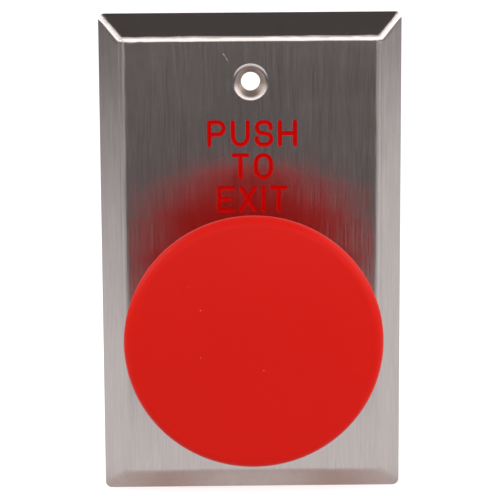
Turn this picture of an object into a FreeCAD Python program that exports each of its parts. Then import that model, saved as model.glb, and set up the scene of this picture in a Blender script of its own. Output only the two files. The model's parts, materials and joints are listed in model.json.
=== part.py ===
import FreeCAD, Part

import math
import os

# Door exit button: a large mushroom push button on a bevelled single gang wall plate.
# X is to the right seen from the room, Y runs into the wall and Z is up.
# The origin is the centre of the plate on the wall's surface, so the plate lies at
# negative y and the switch mechanism reaches into the wall box at positive y.
# All lengths are millimetres.

V = FreeCAD.Vector

# Wall plate
plate_width = 69.85
plate_height = 114.3
plate_depth = 4.8
plate_sheet = 0.9
bevel_run = 5.1
plate_corner_radius = 1.5
crease_radius = 2.4
smallest_inner_radius = 0.3

# Countersunk dimples for the two box screws
box_screw_spacing = 83.34
box_screw_hole_radius = 2.2
dimple_lip_radius = 4.3
dimple_bend_radius = 1.6
dimple_angle = 48.0
dimple_depth = 1.45
dimple_wall = 0.8

# Panel hole of the operator, on the button's axis
button_z = -12.5
tube_radius = 11.0
panel_hole_clearance = 0.15
key_width = 2.9
key_height = 1.5
key_clearance = 0.15
key_root = 0.8
key_overlap = 0.5

# Operator body: bezel in front of the panel, threaded tube behind it
gasket_thickness = 1.0
gasket_band = 3.0
gasket_edge = 0.3
bezel_inset = 0.15
bezel_flange = 3.0
bezel_collar_band = 1.4
bezel_round = 0.9
bezel_edge = 1.0
bezel_flare = 0.3
bezel_cove = 0.6
bezel_length = 7.2
tube_length = 17.0
tube_lead = 1.0
guide_wall = 2.0
tube_wall = 1.7
chamber_taper = 1.4
spring_chamber_length = 12.0
seal_thickness = 2.0
seal_width = 2.0
seal_edge = 0.2
seal_lip = 0.9
seal_lip_root = 0.5
seal_lip_depth = 0.6

# How far a cutter reaches past what it cuts, and how deep joined forms overlap
reach = 1.0
join_depth = 0.1

# Running and seating clearances
running_clearance = 0.05
seat_clearance = 0.05
moulded_clearance = 0.02
free_clearance = 0.3

# Stem
travel = 4.5
neck_radius = 7.5
shaft_radius = 4.5
spigot_radius = 4.0
spigot_length = 11.5
tail_radius = 3.0
tail_length = 1.6
chamfer_small = 0.4

# Mushroom head
head_radius = 29.25
head_rim_standoff = 32.5
rim_front_radius = 2.4
rim_back_radius = 4.0
rim_back_angle = 70.0
dome_rise = 1.8
head_wall = 2.6
lip_width = 2.2
hub_radius = 9.5
hub_draft = 0.6
rib_count = 8
rib_thickness = 1.4
rib_recess = 1.2
rib_hub_overlap = 1.2
rib_wall_overlap = 1.0
ring_rib_radius = 17.5

# Brass insert moulded into the hub
insert_radius = 5.5
insert_length = 12.2
insert_groove = 0.6

# Return spring
return_wire = 1.0
return_mean_radius = 6.0
return_turns = 5.5

# Retaining clip on the stem
clip_thickness = 0.8
clip_radius = 6.8
clip_band = 1.6
clip_groove_depth = 0.9
clip_prong_width = 2.0
clip_prong_angles = (90, 200, 340)
clip_mouth_width = 6.4

# Pusher disc that works the contact blocks, and its screw
pusher_clearance = 0.6
pusher_thickness = 3.0
pusher_web = 1.7
pusher_edge = 0.6
pusher_recess_draft = 0.4
pusher_recess_radius = 4.2
pusher_screw_radius = 1.5
pusher_screw_length = 6.0
pusher_screw_head_radius = 2.9
pusher_screw_head = 1.2

# Fixing behind the panel
washer_thickness = 0.8
washer_band = 3.2
washer_tooth_count = 12
washer_tooth_gap = 1.6
washer_tooth_depth = 1.5
nut_wall = 2.5
nut_thickness = 5.5
nut_chamfer = 1.2
nut_face_inset = 0.3

# Mounting collar on the tube, whose wall also sets the bezel's and the blocks' reach
collar_wall = 3.9
collar_gap = 1.6
collar_margin = 0.3
collar_half_height = 19.0
collar_corner = 2.0
collar_chamfer = 0.8
collar_pocket_depth = 1.0
collar_pocket_half = 8.0
collar_pocket_edge = 3.0
set_screw_radius = 1.5
set_screw_offset = 3.5
set_screw_recess = 0.4
slot_width = 0.8
slot_depth = 0.7

# Contact blocks, one on each side of the axis
block_gap = 0.4
block_depth = 24.0
block_wall = 1.2
block_front_clearance = 0.5
hook_z = 14.1
hook_thickness = 1.4
hook_width = 6.0
hook_length = 7.8
hook_barb = 1.2
hook_barb_length = 2.5
hook_lead = 0.4
hook_join = 0.01
barb_join = 0.2

# Plunger of a contact block
plunger_pin_radius = 2.4
plunger_side_gap = 2.0
plunger_frame_height = 7.0
plunger_front_bar = 1.8
plunger_tail_length = 4.3
window_length = 8.5
window_bar = 1.5
tail_bore_radius = 2.6
tail_bore_depth = 3.3
block_wire = 0.45
block_spring_radius = 1.8
block_return_turns = 6.0
bridge_spring_turns = 4.0
peg_radius = 1.3
peg_length = 1.5

# Contacts
bridge_half_length = 9.6
strip_thickness = 0.8
contact_z = 8.4
contact_radius = 1.6
contact_height = 0.5
contact_travel = 3.0
contact_gap = 0.05
terminal_inset = 1.0
terminal_end_gap = 0.4
riser_z = 11.4
pad_front_offset = 15.85
ledge_height = 1.6
ledge_depth = 2.0
clamp_play = 0.4
clamp_height = 5.6
clamp_end_distance = 3.0
clamp_opening = 2.2
clamp_thickness = 1.0
terminal_screw_radius = 1.5
terminal_screw_head_radius = 2.6
terminal_screw_head = 1.8
terminal_screw_below = 1.2
driver_hole_radius = 2.9
wire_entry = 3.6
entry_overlap = 0.5
cover_lip = 1.0
cover_lip_width = 0.8
cover_clearance = 0.15

# Shaping of the contact blocks' mouldings and metal parts
block_corner = 0.8
cover_chamfer = 0.5
driver_funnel = 0.6
grip_count = 3
grip_pitch = 2.2
grip_width = 1.0
grip_depth = 0.35
grip_start = 3.0
marker_width = 9.0
marker_height = 8.0
marker_depth = 0.3
frame_corner = 0.6
strip_corner = 1.0
bend_inner = 0.3
clamp_corner = 0.5
head_chamfer = 0.3

# Radii that follow the tube, widths and heights that follow the blocks
gasket_radius = tube_radius + gasket_band
bezel_radius = tube_radius + collar_wall - bezel_inset
bezel_collar_radius = tube_radius + bezel_collar_band
spring_chamber_radius = tube_radius - tube_wall
pusher_radius = tube_radius - pusher_clearance
washer_radius = tube_radius + washer_band
nut_flats = 2 * (tube_radius + nut_wall)
collar_half_width = tube_radius + collar_wall
block_width = collar_half_width - collar_margin - block_gap / 2
plunger_frame_width = block_width - 2 * (block_wall + plunger_side_gap)
window_width = plunger_frame_width - 2 * window_bar
bridge_width = window_width - 2 * free_clearance
terminal_width = plunger_frame_width - 2 * terminal_inset
clamp_width = terminal_width - clamp_play
terminal_end_z = collar_half_height - block_wall - terminal_end_gap
clamp_z = terminal_end_z - clamp_end_distance

# Depths along the button's axis, worked out from the sizes above
plate_front = -plate_depth
plate_back = plate_front + plate_sheet
flange_seat = plate_front - gasket_thickness
bezel_front = flange_seat - bezel_length
tube_end = plate_front + tube_length - tube_lead
chamber_end = tube_end - guide_wall
chamber_start = chamber_end - spring_chamber_length
neck_back = chamber_start + travel
hub_end = bezel_front - travel - free_clearance
rim_centre = -head_rim_standoff
washer_back = plate_back + washer_thickness
nut_back = washer_back + nut_thickness
clip_front = tube_end + seat_clearance
clip_back = clip_front + clip_thickness
tail_start = clip_back + seat_clearance
pusher_back = tail_start + pusher_thickness
collar_front = nut_back + collar_gap
block_front = pusher_back + travel + block_front_clearance
block_back = block_front + block_depth
cavity_front = block_front + block_wall
cavity_back = block_back - block_wall
plunger_tip = pusher_back + seat_clearance
frame_front = cavity_front + free_clearance
window_front = frame_front + plunger_front_bar
window_back = window_front + window_length
frame_back = window_back + plunger_tail_length
pad_front = block_front + pad_front_offset
plunger_centre = block_gap / 2 + block_width / 2


def ring_profile(points):
    """Solid of revolution about the button's axis from (radius, y) points."""
    corners = [V(radius, y, button_z) for radius, y in points]
    face = Part.Face(Part.makePolygon(corners + corners[:1]))
    return face.revolve(V(0, 0, button_z), V(0, 1, 0), 360)


def rod(radius, y0, y1, x=0.0, z=button_z):
    """Cylinder along the wall's normal."""
    return Part.makeCylinder(radius, y1 - y0, V(x, y0, z), V(0, 1, 0))


def ring(outer, inner, y0, y1):
    """Plain ring about the button's axis."""
    return rod(outer, y0, y1).cut(rod(inner, y0 - reach, y1 + reach))


def block(x0, x1, y0, y1, z0, z1):
    """Box between two corners, given in any order along x."""
    low, high = min(x0, x1), max(x0, x1)
    return Part.makeBox(high - low, y1 - y0, z1 - z0, V(low, y0, z0))


def edges_at(solid, x=None, y=None, z=None):
    """Edges of a solid that lie wholly at the given coordinates."""
    found = []
    for edge in solid.Edges:
        box = edge.BoundBox
        spans = ((x, box.XMin, box.XMax), (y, box.YMin, box.YMax), (z, box.ZMin, box.ZMax))
        asked = [span for span in spans if span[0] is not None]
        if all(abs(low - at) < 1e-6 and abs(high - at) < 1e-6 for at, low, high in asked):
            found.append(edge)
    return found


def rounded_corners(plate, x, half_x, z, half_z, radius):
    """Block with its four edges along the wall's normal rounded."""
    corners = []
    for sx in (-1, 1):
        for sz in (-1, 1):
            corners += edges_at(plate, x=x + sx * half_x, z=z + sz * half_z)
    return plate.makeFillet(radius, corners)


def rounded_wire(width, height, y, radius):
    """Rounded rectangle in a plane parallel to the wall."""
    w, h = width / 2, height / 2
    edges = []
    for sx, sz, start in ((1, 1, 0), (-1, 1, 90), (-1, -1, 180), (1, -1, 270)):
        centre = V(sx * (w - radius), y, sz * (h - radius))
        marks = [math.radians(start + step) for step in (0, 45, 90)]
        arc = [centre + V(radius * math.cos(a), 0, radius * math.sin(a)) for a in marks]
        edges.append(Part.Arc(*arc).toShape())
    sides = []
    for first, second in zip(edges, edges[1:] + edges[:1]):
        start = first.Vertexes[-1].Point
        end = second.Vertexes[0].Point
        sides.append(Part.LineSegment(start, end).toShape())
    wire = []
    for arc, side in zip(edges, sides):
        wire += [arc, side]
    return Part.Wire(wire)


def pan(inset, front, back, corner, fold_radius):
    """Solid bevelled pan, with its front edges folded to a radius."""
    slope = bevel_run / plate_depth
    run = (back - front) * slope
    rear = rounded_wire(plate_width - 2 * inset, plate_height - 2 * inset, back, corner)
    width = plate_width - 2 * inset - 2 * run
    height = plate_height - 2 * inset - 2 * run
    face = rounded_wire(width, height, front, corner)
    solid = Part.makeLoft([rear, face], True, True)
    return solid.makeFillet(fold_radius, edges_at(solid, y=front))


def dimple_turned(offset, front, depth, z):
    """Space in front of a dimple's rolled lip and cone, moved back by the sheet's offset."""
    bend = dimple_bend_radius - offset
    centre_y = plate_front + dimple_bend_radius

    def on_bend(angle):
        lean = math.radians(angle)
        return V(dimple_lip_radius - bend * math.sin(lean), centre_y - bend * math.cos(lean), z)

    lip, middle, cone = on_bend(0), on_bend(dimple_angle / 2), on_bend(dimple_angle)
    run = (depth - cone.y) / math.tan(math.radians(dimple_angle))
    foot = V(cone.x - run, depth, z)
    edges = [Part.Arc(lip, middle, cone).toShape(), Part.LineSegment(cone, foot).toShape()]
    outline = [foot, V(0, depth, z), V(0, front, z), V(lip.x, front, z), lip]
    for first, second in zip(outline, outline[1:]):
        if first.distanceToPoint(second) > 1e-6:
            edges.append(Part.LineSegment(first, second).toShape())
    return Part.Face(Part.Wire(edges)).revolve(V(0, 0, z), V(0, 1, 0), 360)


def face_plate():
    """Bevelled stainless plate with two dimpled screw holes and the operator's keyed hole."""
    slope_angle = math.atan2(plate_depth, bevel_run)
    rim = plate_sheet / math.sin(slope_angle)
    outer = pan(0, plate_front, 0, plate_corner_radius, crease_radius)
    inner_corner = max(plate_corner_radius - plate_sheet, smallest_inner_radius)
    inner_fold = max(crease_radius - plate_sheet, smallest_inner_radius)
    plate = outer.cut(pan(rim, plate_back, 0, inner_corner, inner_fold))
    hole_radius = tube_radius + panel_hole_clearance
    through = rod(hole_radius, plate_front - reach, plate_back + reach)
    plate = plate.cut(through.fuse(key_notch(plate_front - reach, plate_back + reach)))
    dimple_end = plate_front + dimple_depth
    for side in (1, -1):
        z = side * box_screw_spacing / 2
        pressed = dimple_turned(dimple_wall, plate_front + dimple_wall, dimple_end + dimple_wall, z)
        plate = plate.fuse(pressed)
        plate = plate.cut(dimple_turned(0, plate_front - reach, dimple_end, z))
        plate = plate.cut(rod(box_screw_hole_radius, plate_front, dimple_end + plate_depth, 0, z))
    return plate.removeSplitter()


def key_notch(y0, y1):
    """Space for the operator's key, from the button's axis upwards."""
    half = key_width / 2 + key_clearance
    top = button_z + tube_radius + key_height + key_clearance
    return block(-half, half, y0, y1, button_z, top)


def front_gasket():
    """Rubber gasket between the bezel's flange and the plate, with a rounded outer side."""
    inner = tube_radius + panel_hole_clearance
    edge = gasket_edge
    solid = ring_profile(
        [
            (inner, flange_seat),
            (gasket_radius - edge, flange_seat),
            (gasket_radius, flange_seat + edge),
            (gasket_radius, plate_front - edge),
            (gasket_radius - edge, plate_front),
            (inner, plate_front),
        ]
    )
    return solid.cut(key_notch(flange_seat - reach, plate_front + reach))


def operator_body():
    """Bezel and tube in one turned casting, with the spring chamber, the seal's groove and the key."""
    mouth = neck_radius + running_clearance
    seal_front = bezel_front + seal_thickness / 2
    seal_back = seal_front + seal_thickness
    body = ring_profile(
        [
            (mouth, bezel_front + chamfer_small),
            (mouth + chamfer_small, bezel_front),
            (bezel_collar_radius - bezel_edge, bezel_front),
            (bezel_collar_radius, bezel_front + bezel_edge),
            (bezel_collar_radius + bezel_flare, flange_seat - bezel_flange - bezel_cove),
            (bezel_collar_radius + bezel_flare + bezel_cove, flange_seat - bezel_flange),
            (bezel_radius - bezel_round, flange_seat - bezel_flange),
            (bezel_radius, flange_seat - bezel_flange + bezel_round),
            (bezel_radius, flange_seat),
            (tube_radius, flange_seat),
            (tube_radius, tube_end - chamfer_small),
            (tube_radius - chamfer_small, tube_end),
            (shaft_radius + running_clearance, tube_end),
            (shaft_radius + running_clearance, chamber_end),
            (spring_chamber_radius, chamber_end),
            (spring_chamber_radius, chamber_start - free_clearance),
            (mouth, chamber_start - free_clearance - chamber_taper),
            (mouth, seal_back),
            (mouth + seal_width, seal_back),
            (mouth + seal_width, seal_front),
            (mouth, seal_front),
        ]
    )
    key_top = button_z + tube_radius + key_height
    key_foot = button_z + tube_radius - key_root
    key = block(-key_width / 2, key_width / 2, flange_seat - key_overlap, plate_back, key_foot, key_top)
    return body.fuse(key).removeSplitter()


def wiper_seal():
    """Lip seal in the bezel's groove."""
    inner = neck_radius + running_clearance
    outer = inner + seal_width - moulded_clearance
    front = bezel_front + seal_thickness / 2 + moulded_clearance
    back = front + seal_thickness - 2 * moulded_clearance
    return ring_profile(
        [
            (inner, front + seal_edge),
            (inner + seal_edge, front),
            (outer, front),
            (outer, back),
            (inner + seal_lip, back),
            (inner + seal_lip_root, back - seal_lip_depth),
            (inner, back - seal_lip),
        ]
    )


def mushroom_head():
    """Moulded head: domed face, rolled rim, hollow back with a hub, radial ribs and one ring rib."""
    rim_x = head_radius - rim_front_radius
    apex = rim_centre - rim_front_radius - dome_rise
    dome_radius = (rim_x**2 + (dome_rise + rim_front_radius) ** 2 - rim_front_radius**2) / (2 * dome_rise)
    dome_centre = apex + dome_radius
    lean = math.atan2(rim_x, dome_centre - rim_centre)
    touch = V(dome_radius * math.sin(lean), dome_centre - dome_radius * math.cos(lean), 0)
    dome_mid = V(dome_radius * math.sin(lean / 2), dome_centre - dome_radius * math.cos(lean / 2), 0)
    half = (math.pi / 2 + lean) / 2
    rim_mid = V(
        rim_x + rim_front_radius * math.sin(half),
        rim_centre - rim_front_radius * math.cos(half),
        0,
    )
    widest = V(head_radius, rim_centre, 0)
    back_x = head_radius - rim_back_radius
    back_angle = math.radians(rim_back_angle)
    back_mid = V(
        back_x + rim_back_radius * math.cos(back_angle / 2),
        rim_centre + rim_back_radius * math.sin(back_angle / 2),
        0,
    )
    lip = V(
        back_x + rim_back_radius * math.cos(back_angle),
        rim_centre + rim_back_radius * math.sin(back_angle),
        0,
    )
    cavity_radius = lip.x - lip_width
    inner_radius = dome_radius - head_wall
    inner_edge = V(cavity_radius, dome_centre - math.sqrt(inner_radius**2 - cavity_radius**2), 0)
    inner_mid_x = (cavity_radius + hub_radius) / 2
    inner_mid = V(inner_mid_x, dome_centre - math.sqrt(inner_radius**2 - inner_mid_x**2), 0)
    hub_root_y = dome_centre - math.sqrt(inner_radius**2 - hub_radius**2)
    hub_root = V(hub_radius, hub_root_y, 0)
    hub_edge = V(hub_radius - hub_draft, hub_end, 0)
    bore = insert_radius + moulded_clearance
    bore_bottom = hub_end - insert_length - moulded_clearance
    points = [V(0, apex, 0), touch, widest, lip, V(cavity_radius, lip.y, 0), inner_edge]
    outline = [
        Part.Arc(points[0], dome_mid, touch).toShape(),
        Part.Arc(touch, rim_mid, widest).toShape(),
        Part.Arc(widest, back_mid, lip).toShape(),
        Part.LineSegment(lip, points[4]).toShape(),
        Part.LineSegment(points[4], inner_edge).toShape(),
        Part.Arc(inner_edge, inner_mid, hub_root).toShape(),
        Part.LineSegment(hub_root, hub_edge).toShape(),
        Part.LineSegment(hub_edge, V(bore, hub_end, 0)).toShape(),
        Part.LineSegment(V(bore, hub_end, 0), V(bore, bore_bottom, 0)).toShape(),
        Part.LineSegment(V(bore, bore_bottom, 0), V(0, bore_bottom, 0)).toShape(),
        Part.LineSegment(V(0, bore_bottom, 0), points[0]).toShape(),
    ]
    shell = Part.Face(Part.Wire(outline)).revolve(V(0, 0, 0), V(0, 1, 0), 360)
    rib_end = lip.y - rib_recess
    rib_root = hub_root_y - join_depth
    ribs = []
    for number in range(rib_count):
        rib = Part.makeBox(
            cavity_radius - hub_radius + rib_hub_overlap + rib_wall_overlap,
            rib_end - rib_root,
            rib_thickness,
            V(hub_radius - rib_hub_overlap, rib_root, -rib_thickness / 2),
        )
        rib.rotate(V(0, 0, 0), V(0, 1, 0), (number + 0.5) * 360 / rib_count)
        ribs.append(rib)
    ring_outer = rod(ring_rib_radius + rib_thickness / 2, rib_root, rib_end, 0, 0)
    ring_inner = rod(ring_rib_radius - rib_thickness / 2, rib_root - reach, rib_end + reach, 0, 0)
    ribs.append(ring_outer.cut(ring_inner))
    head = shell.fuse(ribs).removeSplitter()
    head.translate(V(0, 0, button_z))
    return head


def head_insert():
    """Threaded brass insert with two gripping bands, moulded into the hub."""
    front = hub_end - insert_length
    third = insert_length / 3
    bore = spigot_radius + moulded_clearance
    return ring_profile(
        [
            (bore, front),
            (insert_radius - chamfer_small, front),
            (insert_radius, front + chamfer_small),
            (insert_radius, front + third),
            (insert_radius - insert_groove, front + third + insert_groove),
            (insert_radius - insert_groove, hub_end - third - insert_groove),
            (insert_radius, hub_end - third),
            (insert_radius, hub_end),
            (bore, hub_end),
        ]
    )


def stem():
    """Turned stem: threaded spigot for the head, sealed neck, shaft, clip groove and tail."""
    spigot_end = hub_end - spigot_length
    groove = shaft_radius - clip_groove_depth
    body = ring_profile(
        [
            (0, spigot_end),
            (spigot_radius - chamfer_small, spigot_end),
            (spigot_radius, spigot_end + chamfer_small),
            (spigot_radius, hub_end),
            (neck_radius - chamfer_small, hub_end),
            (neck_radius, hub_end + chamfer_small),
            (neck_radius, neck_back - travel - chamfer_small),
            (neck_radius - chamfer_small, neck_back - travel),
            (shaft_radius, neck_back - travel),
            (shaft_radius, clip_front - seat_clearance / 2),
            (groove, clip_front - seat_clearance / 2),
            (groove, clip_back + seat_clearance / 2),
            (shaft_radius, clip_back + seat_clearance / 2),
            (shaft_radius, tail_start),
            (tail_radius, tail_start),
            (tail_radius, tail_start + tail_length),
            (0, tail_start + tail_length),
        ]
    )
    tapped = pusher_screw_radius + moulded_clearance
    hole_start = tail_start + pusher_web - pusher_screw_length - free_clearance
    return body.cut(rod(tapped, hole_start, tail_start + tail_length + reach))


def coil(radius, wire, turns, y0, y1, x, z):
    """Compression spring along the wall's normal between two seats."""
    inset = wire / 2 + moulded_clearance
    length = y1 - y0 - 2 * inset
    helix = Part.makeHelix(length / turns, length, radius)
    circle = Part.Circle(V(radius, 0, 0), V(0, 1, 0), wire / 2).toShape()
    spring = Part.Wire(helix).makePipeShell([Part.Wire(circle)], True, True)
    spring.rotate(V(0, 0, 0), V(1, 0, 0), -90)
    spring.translate(V(x, y0 + inset, z))
    return spring


def return_spring():
    """Spring between the neck's shoulder and the tube's rear wall."""
    return coil(return_mean_radius, return_wire, return_turns, chamber_start, chamber_end, 0, button_z)


def retaining_clip():
    """E shaped clip in the stem's groove, open downwards, with three prongs."""
    seat = shaft_radius - clip_groove_depth + moulded_clearance
    band = ring(clip_radius, clip_radius - clip_band, clip_front, clip_back)
    prongs = rod(clip_radius - clip_band / 2, clip_front, clip_back)
    arms = []
    for angle in clip_prong_angles:
        arm = block(0, clip_radius, clip_front, clip_back, -clip_prong_width / 2, clip_prong_width / 2)
        arm.rotate(V(0, 0, 0), V(0, 1, 0), -angle)
        arm.translate(V(0, 0, button_z))
        arms.append(arm)
    prongs = prongs.common(arms[0].fuse(arms[1:]))
    mouth = block(
        -clip_mouth_width / 2,
        clip_mouth_width / 2,
        clip_front - reach,
        clip_back + reach,
        button_z - clip_radius - reach,
        button_z - clip_radius / 2,
    )
    clip = band.cut(mouth).fuse(prongs)
    return clip.cut(rod(seat, clip_front - reach, clip_back + reach)).removeSplitter()


def pusher_disc():
    """Disc on the stem's tail that presses both plungers, recessed for its screw."""
    bore = tail_radius + moulded_clearance
    return ring_profile(
        [
            (bore, tail_start),
            (pusher_radius - pusher_edge, tail_start),
            (pusher_radius, tail_start + pusher_edge),
            (pusher_radius, pusher_back - pusher_edge),
            (pusher_radius - pusher_edge, pusher_back),
            (pusher_recess_radius, pusher_back),
            (pusher_recess_radius - pusher_recess_draft, tail_start + pusher_web),
            (bore, tail_start + pusher_web),
        ]
    )


def slotted(head, y0, y1, radius, x, z):
    """Head with a driver slot across it along x."""
    slot = block(x - radius - reach, x + radius + reach, y0, y1,
                 z - slot_width / 2, z + slot_width / 2)
    return head.cut(slot)


def screw_head(radius, y0, y1, x, z):
    """Round screw head with its rear edge chamfered."""
    head = rod(radius, y0, y1, x, z)
    return head.makeChamfer(head_chamfer, edges_at(head, y=y1))


def pusher_screw():
    """Small slotted screw that holds the pusher disc on the tail."""
    head_front = tail_start + pusher_web
    head_back = head_front + pusher_screw_head
    shank = rod(pusher_screw_radius, head_front - pusher_screw_length, head_front)
    head = screw_head(pusher_screw_head_radius, head_front, head_back, 0, button_z)
    screw = shank.fuse(head)
    return slotted(screw, head_back - slot_depth, head_back + reach, pusher_screw_head_radius, 0, button_z)


def lock_washer():
    """Toothed washer behind the plate."""
    washer = ring(washer_radius, tube_radius + panel_hole_clearance, plate_back, washer_back)
    gaps = []
    for number in range(washer_tooth_count):
        gap = block(
            washer_radius - washer_tooth_depth,
            washer_radius + reach,
            plate_back - reach,
            washer_back + reach,
            -washer_tooth_gap / 2,
            washer_tooth_gap / 2,
        )
        gap.rotate(V(0, 0, 0), V(0, 1, 0), number * 360 / washer_tooth_count)
        gap.translate(V(0, 0, button_z))
        gaps.append(gap)
    return washer.cut(gaps)


def ring_nut():
    """Hexagon nut on the tube, chamfered towards the box."""
    corner = nut_flats / math.sqrt(3)
    points = []
    for number in range(6):
        angle = math.radians(60 * number)
        points.append(V(corner * math.cos(angle), washer_back, button_z + corner * math.sin(angle)))
    prism = Part.Face(Part.makePolygon(points + points[:1])).extrude(V(0, nut_thickness, 0))
    dress = ring_profile(
        [
            (0, washer_back),
            (corner + join_depth, washer_back),
            (corner + join_depth, nut_back - nut_chamfer / 2),
            (nut_flats / 2 - nut_face_inset, nut_back),
            (0, nut_back),
        ]
    )
    bore = rod(tube_radius + moulded_clearance, washer_back - reach, nut_back + reach)
    return prism.common(dress).cut(bore)


def hook_space(side, z_sign, grow):
    """Barbed snap hook of a contact block, or the collar's pocket for it when grown."""
    centre = side * plunger_centre
    root = block_front + (hook_join if grow == 0 else reach)
    low, high = hook_z - grow, hook_z + hook_thickness + grow
    tip = block_front - hook_length - grow
    leg = block(
        centre - hook_width / 2 - grow,
        centre + hook_width / 2 + grow,
        tip,
        root,
        min(z_sign * low, z_sign * high),
        max(z_sign * low, z_sign * high),
    )
    barb_end = block_front - hook_length + hook_barb_length + grow
    profile = [
        V(0, tip, z_sign * (high - barb_join)),
        V(0, tip + hook_lead, z_sign * (high + hook_barb)),
        V(0, barb_end, z_sign * (high + hook_barb)),
        V(0, barb_end, z_sign * (high - barb_join)),
    ]
    barb = Part.Face(Part.makePolygon(profile + profile[:1])).extrude(V(hook_width + 2 * grow, 0, 0))
    barb.translate(V(centre - hook_width / 2 - grow, 0, 0))
    hook = leg.fuse(barb)
    hook.translate(V(0, 0, button_z))
    return hook


def mounting_collar():
    """Cast collar clamped on the tube by two set screws, with pockets for the blocks' hooks."""
    wide = collar_half_width
    tall = collar_half_height
    body = block(-wide, wide, collar_front, block_front, button_z - tall, button_z + tall)
    body = rounded_corners(body, 0, wide, button_z, tall, collar_corner)
    body = body.makeChamfer(collar_chamfer, edges_at(body, y=collar_front))
    body = body.cut(rod(tube_radius + moulded_clearance, collar_front - reach, block_front + reach))
    for side in (-1, 1):
        pocket = block(side * (wide - collar_pocket_depth), side * (wide + reach),
                       collar_front + collar_pocket_edge, block_front - collar_pocket_edge,
                       button_z - collar_pocket_half, button_z + collar_pocket_half)
        body = body.cut(pocket)
        for z_sign in (-1, 1):
            body = body.cut(hook_space(side, z_sign, free_clearance))
    screw_y = collar_front + set_screw_offset
    drill = Part.makeCylinder(
        set_screw_radius + moulded_clearance,
        2 * (tall + reach),
        V(0, screw_y, button_z - tall - reach),
        V(0, 0, 1),
    )
    return body.cut(drill)


def set_screws():
    """Two slotted set screws that grip the tube from above and below."""
    screw_y = collar_front + set_screw_offset
    inner = tube_radius + seat_clearance
    length = collar_half_height - inner - set_screw_recess
    screws = []
    for sign in (1, -1):
        body = Part.makeCylinder(
            set_screw_radius, length, V(0, screw_y, button_z + sign * inner), V(0, 0, sign)
        )
        end = button_z + sign * (inner + length)
        low = min(end, end - sign * slot_depth)
        slot = block(-2 * set_screw_radius, 2 * set_screw_radius, screw_y - slot_width / 2,
                     screw_y + slot_width / 2, low, low + slot_depth)
        screws.append(body.cut(slot))
    return Part.Compound(screws)


def across(side, u):
    """X of a distance from a block's inner face, measured outwards."""
    return side * (block_gap / 2 + u)


def shell_of_block(side):
    """Outer form of a block's tray, rounded at its inner and rear edges."""
    tall = collar_half_height
    inner_x = across(side, 0)
    shell = block(inner_x, across(side, block_width - block_wall), block_front, block_back,
                  button_z - tall, button_z + tall)
    edges = edges_at(shell, x=inner_x, y=block_back)
    for sign in (-1, 1):
        edges += edges_at(shell, x=inner_x, z=button_z + sign * tall)
        edges += edges_at(shell, y=block_back, z=button_z + sign * tall)
    return shell.makeFillet(block_corner, edges)


def grip_grooves(side):
    """Shallow finger grooves across the top and bottom of a block's tray."""
    tall = collar_half_height
    grooves = []
    for sign in (-1, 1):
        z0 = button_z + sign * (tall - grip_depth)
        z1 = button_z + sign * (tall + reach)
        for number in range(grip_count):
            start = block_front + grip_start + number * grip_pitch
            grooves.append(block(across(side, block_corner), across(side, block_width), start,
                                 start + grip_width, min(z0, z1), max(z0, z1)))
    return grooves


def block_body(side):
    """Tray of a contact block: open on its outer side, with ledges, entries and snap hooks."""
    tall = collar_half_height
    shell = shell_of_block(side)
    hollow = block(across(side, block_wall), across(side, block_width), cavity_front, cavity_back,
                   button_z - tall + block_wall, button_z + tall - block_wall)
    tray = shell.cut(hollow)
    centre = side * plunger_centre
    parts = []
    pad_low = terminal_end_z + free_clearance - ledge_height
    for sign in (-1, 1):
        z0 = button_z + sign * pad_low
        z1 = button_z + sign * (tall - block_wall / 2)
        parts.append(block(across(side, block_wall / 2), centre + side * terminal_width / 2,
                           pad_front - ledge_depth, pad_front, min(z0, z1), max(z0, z1)))
        parts.append(hook_space(side, sign, 0))
    parts.append(rod(peg_radius, cavity_back - peg_length, cavity_back + block_wall / 2, centre))
    tray = tray.fuse(parts)
    cuts = [rod(plunger_pin_radius + running_clearance, block_front - reach, cavity_front + reach, centre)]
    cuts.append(block(centre - marker_width / 2, centre + marker_width / 2, block_back - marker_depth,
                      block_back + reach, button_z - marker_height / 2, button_z + marker_height / 2))
    cuts += grip_grooves(side)
    entry_front = pad_front + strip_thickness
    for sign in (-1, 1):
        z0 = button_z + sign * (tall - block_wall - entry_overlap)
        z1 = button_z + sign * (tall + reach)
        cuts.append(block(centre - wire_entry / 2, centre + wire_entry / 2, entry_front,
                          entry_front + wire_entry, min(z0, z1), max(z0, z1)))
        driver_z = button_z + sign * clamp_z
        cuts.append(rod(driver_hole_radius, cavity_back - reach, block_back + reach, centre, driver_z))
        cuts.append(Part.makeCone(driver_hole_radius, driver_hole_radius + driver_funnel + reach,
                                  driver_funnel + reach, V(centre, block_back - driver_funnel, driver_z),
                                  V(0, 1, 0)))
    return tray.cut(cuts).removeSplitter()


def block_cover(side):
    """Clear cover of a contact block with a locating lip."""
    tall = collar_half_height
    outer_x = across(side, block_width)
    plate = block(across(side, block_width - block_wall), outer_x, block_front, block_back,
                  button_z - tall, button_z + tall)
    rear = []
    for sign in (-1, 1):
        rear += edges_at(plate, y=block_back, z=button_z + sign * tall)
    plate = plate.makeFillet(block_corner, rear)
    plate = plate.makeChamfer(cover_chamfer, edges_at(plate, x=outer_x))
    gap = block_wall + cover_clearance
    lip_u = block_width - block_wall - cover_lip
    outer = block(across(side, lip_u), across(side, block_width - block_wall / 2),
                  block_front + gap, block_back - gap, button_z - tall + gap, button_z + tall - gap)
    inner_gap = gap + cover_lip_width
    inner = block(across(side, lip_u - reach), across(side, block_width - block_wall),
                  block_front + inner_gap, block_back - inner_gap,
                  button_z - tall + inner_gap, button_z + tall - inner_gap)
    return plate.fuse(outer.cut(inner)).removeSplitter()


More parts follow.
